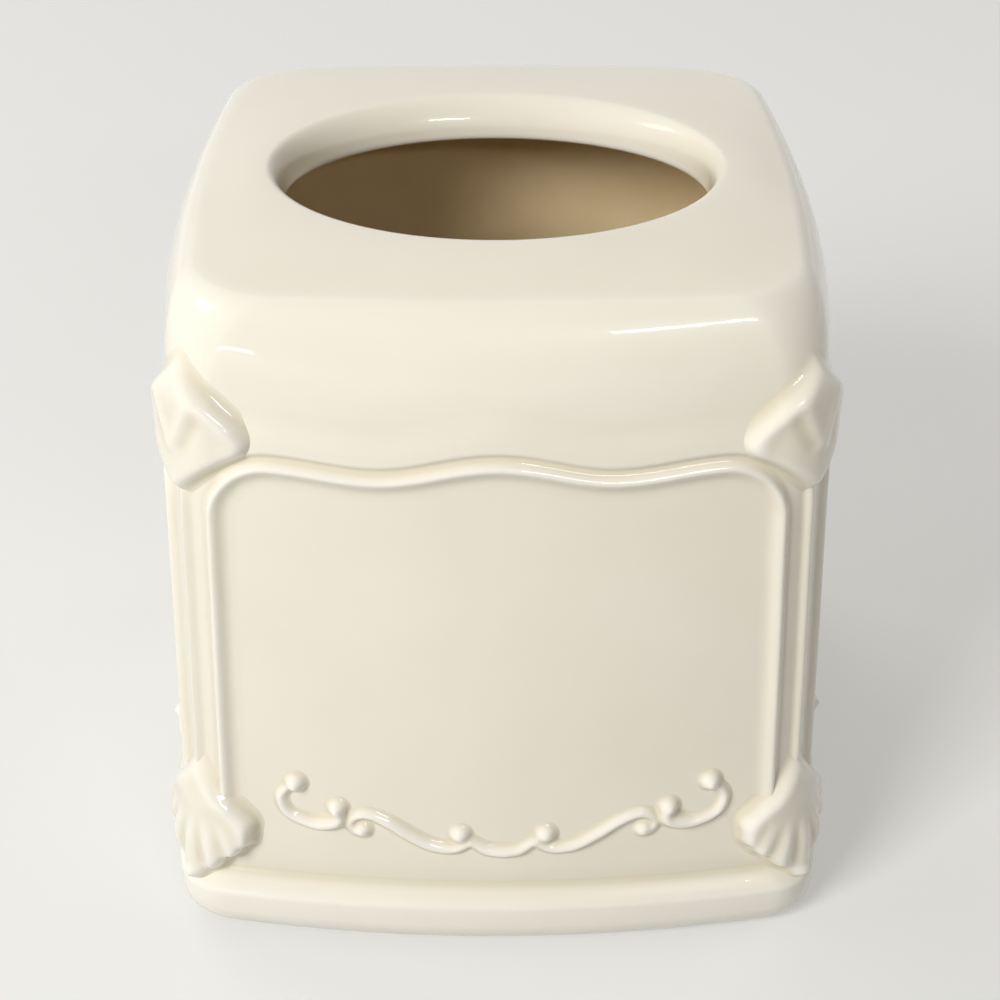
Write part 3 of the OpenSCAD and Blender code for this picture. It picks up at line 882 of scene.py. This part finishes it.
def bell(reach):
    """A round swelling with a soft foot: 1 in the middle and nothing at a reach of 1."""
    return np.clip(1 - reach ** 2, 0, 1) ** BELL_POWER


def mirrored(places):
    """The same places on the right hand side of the middle or corner line."""
    return np.stack([np.abs(places[:, 0]), places[:, 1]], axis=1)


# Corner shells

def edge_rise(places, outline, tip_z):
    """Rise of a shell from its outline: a long soft slope above its tip, a short round one below it."""
    away, _, side = nearest(places, outline)
    below = ramp(tip_z - places[:, 1], *EDGE_CHANGE_SPAN)
    share = np.clip(np.where(side < 0, away, 0) / mix(LONG_EDGE, SHORT_EDGE, below), 0, 1)
    return mix(ramp(share, 0, 1), np.sqrt(1 - (1 - share) ** 2), below)


def along_line(places, points, width):
    """A soft ridge, 1 high, along the line through the points."""
    return hump(nearest(places, curve(points, OUTLINE_STEPS))[0], width)


def upper_lift(places):
    """Height of the upper shell: a fold with a crest along its upper edge, and a rib and a hollow below."""
    places = mirrored(places)
    s, z = places[:, 0], places[:, 1]
    full = mix(UPPER_HEIGHT, UPPER_TIP_HEIGHT, ramp(s, *UPPER_TIP_SPAN))
    field = mix(UPPER_TOP_HEIGHT, full, ramp(UPPER_TOP - z, 0, UPPER_RISE))
    crest = along_line(places, UPPER_CREST, SHELL_CREST_WIDTH)
    rib = UPPER_RIB_HEIGHT * along_line(places, UPPER_RIB, UPPER_RIB_WIDTH)
    hollow = UPPER_HOLLOW_DEPTH * along_line(places, UPPER_HOLLOW, UPPER_HOLLOW_WIDTH)
    height = field + UPPER_CREST_HEIGHT * crest + (1 - crest) * (rib - hollow)
    return height * edge_rise(places, curve(UPPER_OUTLINE, OUTLINE_STEPS), UPPER_TIP_Z)


def fan(places):
    """Distance of each place from the top of the lower shell, and its angle from straight down."""
    down = LOWER_TOP - places[:, 1]
    return np.hypot(places[:, 0], down), np.degrees(np.arctan2(places[:, 0], down))


def flutes(angle, softness):
    """1 on a rib and about -1 in the narrower groove between two."""
    return 2 * np.sqrt(np.cos(angle / FLUTE_ANGLE * math.pi) ** 2 + softness) - 1


def scalloped(line):
    """The lower edge of a shell: each rib ends in a lobe."""
    reach, angle = fan(line)
    scale = 1 + SCALLOP * flutes(angle, SCALLOP_SOFTNESS) / reach
    top = np.array([0, LOWER_TOP])
    return top + (line - top) * scale[:, None]


def lower_lift(places):
    """Height of the lower shell: fullest low down, with a crest along its upper edge and a fan of flutes."""
    places = mirrored(places)
    reach, angle = fan(places)
    field = mix(LOWER_TOP_HEIGHT, LOWER_HEIGHT, ramp(reach, 0, LOWER_RISE))
    field = field + LOWER_FULLNESS * ramp(reach, *LOWER_FULL_SPAN)
    crest = along_line(places, LOWER_CREST, SHELL_CREST_WIDTH)
    depth = mix(FLUTE_DEPTH, FLUTE_SIDE_DEPTH, ramp(angle, *FLUTE_SIDE_SPAN)) * ramp(reach, *FLUTE_SPAN)
    height = field + LOWER_CREST_HEIGHT * crest + depth * flutes(angle, FLUTE_SOFTNESS) * (1 - crest)
    edge = scalloped(evenly(curve(LOWER_EDGE, EDGE_STEPS), EDGE_POINTS))
    outline = np.concatenate([curve(LOWER_OUTLINE, OUTLINE_STEPS)[:-1], edge])
    return height * edge_rise(places, outline, LOWER_TIP_Z)


def make_shells(node, span, lift, glaze):
    """Four shells of one kind, each folded round its corner."""
    name = node.format(CORNER_NAMES[0]) + "_sprig"
    piece = mould(name, SHELL_HALF_WIDTH, span, on_corner, lift, SHELL_BLUR)
    finish_all_round(piece, node, CORNER_NAMES, glaze)


# Garlands

def garland_place(share):
    return np.array([share[0] * GARLAND_HALF, GARLAND_Z + share[1] * GARLAND_HEIGHT])


def garland_lift(places):
    """Height of the garland: strands with a steep outer side and a gentle inner one melt into the beads."""
    places = mirrored(places - [GARLAND_OFFSET, 0])
    total = 0
    for points, widths in STRANDS:
        line = curve([garland_place(point) for point in points], STRAND_STEPS)
        away, along, side = nearest(places, evenly(line, STRAND_POINTS))
        width = np.interp(along, np.linspace(0, 1, len(widths)), widths)
        reach = away / width / mix(STRAND_GENTLE, STRAND_STEEP, (side + 1) / 2)
        total = total + (STRAND_HEIGHT * width * bell(reach)) ** MELT
    for share, radius, height in GARLAND_BEADS:
        away = np.linalg.norm(places - garland_place(share), axis=1)
        total = total + (height * bell(away / radius)) ** MELT
    return total ** (1 / MELT)


def make_garlands(glaze):
    half_width = GARLAND_HALF + PATCH_BESIDE
    span = (GARLAND_Z - PATCH_OVER, GARLAND_Z + GARLAND_HEIGHT + PATCH_OVER)
    piece = mould("scroll_garland_front_sprig", half_width, span, on_wall, garland_lift, GARLAND_BLUR)
    finish_all_round(piece, "scroll_garland_{}", WALL_NAMES, glaze)


# Materials

def srgb(text):
    """A colour written as an sRGB hex value, turned to linear."""
    linear = []
    for start in (0, 2, 4):
        value = int(text[start:start + 2], 16) / 255
        linear.append(value / 12.92 if value <= 0.04045 else ((value + 0.055) / 1.055) ** 2.4)
    return (*linear, 1)


def new_material(name):
    material = bpy.data.materials.new(name)
    material.use_nodes = True
    material.node_tree.nodes.clear()
    return material


def add_node(tree, kind, inputs=None, **settings):
    """Adds one node with its settings. An input is given a value, or the output that feeds it."""
    made = tree.nodes.new("ShaderNode" + kind)
    for name, value in settings.items():
        setattr(made, name, value)
    for socket, value in (inputs or {}).items():
        if isinstance(value, bpy.types.NodeSocket):
            tree.links.new(value, made.inputs[socket])
        else:
            made.inputs[socket].default_value = value
    return made


def math_node(tree, operation, first, second):
    return add_node(tree, "Math", {0: first, 1: second}, operation=operation).outputs[0]


def mixed_colour(tree, share, low, high):
    """Mixes two colours, which a mix node takes at inputs 6 and 7 and gives at output 2."""
    return add_node(tree, "Mix", {0: share, 6: low, 7: high}, data_type="RGBA").outputs[2]


def spread(tree, value, span, ends):
    """Runs from the first end to the second while the value crosses the span."""
    inputs = {
        "Value": value, "From Min": span[0], "From Max": span[1], "To Min": ends[0], "To Max": ends[1],
    }
    return add_node(tree, "MapRange", inputs).outputs[0]


def noise(tree, place, size, detail, roughness=0.5):
    """Soft noise, with its largest features of about this size in mm."""
    inputs = {"Vector": place, "Scale": 1 / (size * MM), "Detail": detail, "Roughness": roughness}
    return add_node(tree, "TexNoise", inputs).outputs[0]


def bump(tree, relief, height, strength=1):
    inputs = {"Height": relief, "Strength": strength, "Distance": height * MM}
    return add_node(tree, "Bump", inputs).outputs[0]


def add_surface(tree, inputs):
    shader = add_node(tree, "BsdfPrincipled", inputs)
    add_node(tree, "OutputMaterial", {"Surface": shader.outputs[0]})


def pinholes(tree, place):
    """1 in the odd small round spot, and 0 elsewhere."""
    cells = add_node(tree, "TexVoronoi", {"Vector": place, "Scale": 1 / (SPECK_SPACING * MM)})
    chosen = math_node(tree, "GREATER_THAN", cells.outputs["Color"], SPECK_RARITY)
    dot = math_node(tree, "LESS_THAN", cells.outputs["Distance"], SPECK_SIZE)
    return math_node(tree, "MULTIPLY", chosen, dot)


def make_glaze():
    """A clear glaze over white earthenware, dipped and fired: it runs thin and is painted pale on crests as a
    highlight, pools warmer in hollows and is painted darker there as shade, clouds slightly over a few
    centimetres, and has the odd pinhole."""
    material = new_material("ivory glaze over white earthenware")
    tree = material.node_tree
    place = add_node(tree, "TexCoord").outputs["Object"]
    crest = add_node(tree, "Attribute", attribute_name="crest").outputs["Fac"]
    # Painted shade in hollows and painted highlight on crests, by how far the surface stands out
    pool_and_shade = spread(tree, crest, POOL_SHADE_SPAN, (0, POOL_SHADE_SHARE))
    thin_and_highlight = spread(tree, crest, THIN_HIGHLIGHT_SPAN, (0, THIN_HIGHLIGHT_SHARE))
    clouds = noise(tree, place, CLOUD_SIZE, detail=2)
    colour = mixed_colour(tree, clouds, srgb(GLAZE_PALE), srgb(GLAZE_WARM))
    colour = mixed_colour(tree, pool_and_shade, colour, srgb(GLAZE_POOLED_SHADE))
    colour = mixed_colour(tree, thin_and_highlight, colour, srgb(GLAZE_THIN_HIGHLIGHT))
    colour = mixed_colour(tree, pinholes(tree, place), colour, srgb(GLAZE_SPECK))
    swells = noise(tree, place, SWELL_SIZE, detail=1, roughness=0.4)
    add_surface(tree, {
        "Base Color": colour, "Roughness": 0.3, "IOR": GLAZE_IOR, "Normal": bump(tree, swells, SWELL_HEIGHT),
        "Coat Weight": 0.9, "Coat Roughness": 0.03, "Coat IOR": GLAZE_IOR,
    })
    return material


def make_shaded_wash():
    """The thin wash of the same glaze inside, painted warmer and darker with the shade that falls inside."""
    material = new_material("glaze wash painted with inside shade")
    tree = material.node_tree
    streaks = noise(tree, add_node(tree, "TexCoord").outputs["Object"], STREAK_SIZE, detail=3)
    add_surface(tree, {
        "Base Color": mixed_colour(tree, streaks, srgb(WASH_SHADE_PALE), srgb(WASH_SHADE_DEEP)),
        "Roughness": 0.35, "IOR": GLAZE_IOR, "Normal": bump(tree, streaks, STREAK_HEIGHT),
    })
    return material


def make_biscuit():
    """The fired clay of the foot, wiped bare of glaze before firing: dull, chalky and slightly open."""
    material = new_material("unglazed earthenware foot")
    tree = material.node_tree
    grain = noise(tree, add_node(tree, "TexCoord").outputs["Object"], GRAIN_SIZE, detail=4)
    add_surface(tree, {
        "Base Color": mixed_colour(tree, grain, srgb(BISCUIT_PALE), srgb(BISCUIT_DEEP)),
        "Roughness": 0.85, "Normal": bump(tree, grain, GRAIN_HEIGHT, GRAIN_STRENGTH),
    })
    return material


# Camera, floor and light, with lengths in metres

CAMERA_PLACE = (-0.0005, -0.3915, 0.3210)
# Straight down is a tilt of 0, and level is 90
CAMERA_TILT = 90 - 32.9
CAMERA_TURN = -0.19
CAMERA_LENS = 72
CAMERA_SENSOR = 36

FLOOR_SIZE = 4
FLOOR_TONE = "BABAB8"
SKY_TONE = "F5F3EE"
# Strength of the glow that keeps the floor pale to the eye and lights nothing, near the cover and far from
# it, and the distances between which it grows
NEAR_GLOW = 0.36
FAR_GLOW = 0.8
GLOW_SPAN = (0.6, 1.6)
# Strength of the sky as a light and as it is seen
SKY_LIGHT = 0.1
SKY_SEEN = 0.85

# Each lamp's name, place, aim, size, power in watts and tone, and whether the glaze mirrors it
LAMPS = (
    ("key", (-0.85, -1.02, 0.98), (0, 0, 0.1), (0.6, 0.6), 22.9, "FFFFFE", False),
    ("back", (-0.8, 1.0, 1.1), (0, 0, 0.1), (1.2, 0.8), 9.5, "FFFFFF", False),
    ("fill", (1.25, 0.45, 0.75), (0, 0, 0.08), (1, 1), 5, "FFFFFF", False),
    ("side", (-1.0, 0, 0.95), (0, 0, 0.15), (0.5, 0.24), 1.1, "FFFFFF", True),
    ("low", (-0.54, -1.05, 0.07), (-0.05, -0.064, 0.142), (0.2, 0.04), 0.16, "FFFFFF", True),
    ("window", (0.33, -0.95, 0.64), (0.03, -0.06, 0.145), (0.3, 0.05), 1.1, "FFFFFF", True),
)


def make_camera():
    """Stands where the photo was taken from, as solved from the outline, the rim and the mouth."""
    data = bpy.data.cameras.new("camera")
    camera = bpy.data.objects.new("camera", data)
    bpy.context.scene.collection.objects.link(camera)
    data.lens = CAMERA_LENS
    data.sensor_width = CAMERA_SENSOR
    camera.location = CAMERA_PLACE
    camera.rotation_euler = (math.radians(CAMERA_TILT), 0, math.radians(CAMERA_TURN))
    bpy.context.scene.camera = camera


def seen_share(tree):
    """1 for rays by which the camera sees a thing, straight or through gloss or glass, and 0 for others."""
    path = add_node(tree, "LightPath").outputs
    seen = math_node(tree, "MAXIMUM", path["Is Camera Ray"], path["Is Glossy Ray"])
    return math_node(tree, "MAXIMUM", seen, path["Is Transmission Ray"])


def make_floor():
    """A floor that is pale to the eye, but throws little light up on the cover."""
    bpy.ops.mesh.primitive_plane_add(size=FLOOR_SIZE)
    floor = bpy.context.object
    floor.name = "floor"
    material = new_material("pale matt floor")
    tree = material.node_tree
    place = add_node(tree, "TexCoord").outputs["Object"]
    reach = add_node(tree, "VectorMath", {0: place}, operation="LENGTH").outputs["Value"]
    wanted = spread(tree, reach, GLOW_SPAN, (NEAR_GLOW, FAR_GLOW))
    add_surface(tree, {
        "Base Color": srgb(FLOOR_TONE), "Roughness": 0.9, "Emission Color": srgb(SKY_TONE),
        "Emission Strength": math_node(tree, "MULTIPLY", seen_share(tree), wanted),
    })
    floor.data.materials.append(material)


def make_world():
    """Pale to the camera and in reflections, and dimmer as a light."""
    world = bpy.data.worlds.new("studio")
    bpy.context.scene.world = world
    world.use_nodes = True
    tree = world.node_tree
    tree.nodes.clear()
    strength = spread(tree, seen_share(tree), (0, 1), (SKY_LIGHT, SKY_SEEN))
    sky = add_node(tree, "Background", {"Color": srgb(SKY_TONE), "Strength": strength})
    add_node(tree, "OutputWorld", {"Surface": sky.outputs[0]})


def make_lamp(name, place, aim, size, power, tone, mirrored_in_glaze):
    data = bpy.data.lights.new(name, "AREA")
    data.shape = "RECTANGLE"
    data.size, data.size_y = size
    data.energy = power
    data.color = srgb(tone)[:3]
    lamp = bpy.data.objects.new(name, data)
    bpy.context.scene.collection.objects.link(lamp)
    lamp.visible_glossy = mirrored_in_glaze
    lamp.location = place
    lamp.rotation_euler = (Vector(aim) - Vector(place)).to_track_quat("-Z", "Y").to_euler()


make_camera()
make_floor()
make_world()
for lamp in LAMPS:
    make_lamp(*lamp)

glaze = make_glaze()
make_casting(glaze, make_shaded_wash(), make_biscuit())
make_frames(glaze)
make_shells("corner_shell_upper_{}", UPPER_PATCH, upper_lift, glaze)
make_shells("corner_shell_lower_{}", LOWER_PATCH, lower_lift, glaze)
make_garlands(glaze)

bpy.context.scene.view_settings.view_transform = "Standard"
